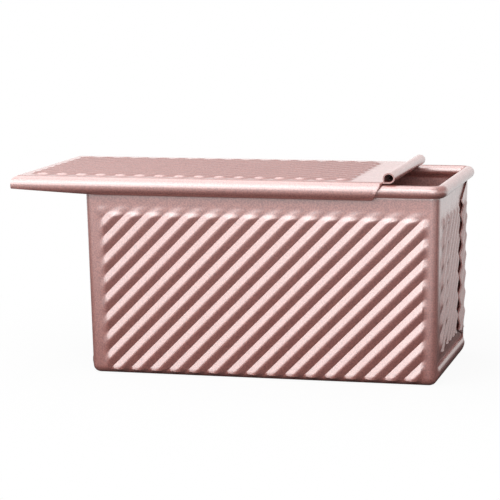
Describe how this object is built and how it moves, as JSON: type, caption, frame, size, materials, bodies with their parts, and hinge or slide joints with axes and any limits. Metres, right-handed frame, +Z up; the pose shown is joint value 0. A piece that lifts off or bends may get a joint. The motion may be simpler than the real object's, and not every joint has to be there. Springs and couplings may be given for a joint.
{
  "type": "pullman loaf pan",
  "caption": "Straight-sided loaf pan folded from diagonally ribbed coated steel, with a rolled rim and a lid that slides along it.",
  "frame": {"origin": "centre of the pan's underside, on the plane it stands on", "axes": "+X along the pan, the way the lid closes and towards the lid's grip; +Y across, from the front wall to the back wall; +Z up"},
  "size_m": [0.2491, 0.1194, 0.119],
  "materials": {
    "coating": "satin rose-gold non-stick coating on folded carbon steel sheet",
    "wire": "drawn steel wire, hidden in the rolled rim"
  },
  "bodies": {
    "pan": {"pan_wrap": "coating", "end_panel_right": "coating", "end_panel_left": "coating", "rim_wire": "wire"},
    "lid": {"lid": "coating"}
  },
  "joints": [
    {"name": "lid_slide", "type": "slide", "parent": "pan", "child": "lid", "axis": [1, 0, 0], "range_m": [-0.19, 0.0333]}
  ]
}
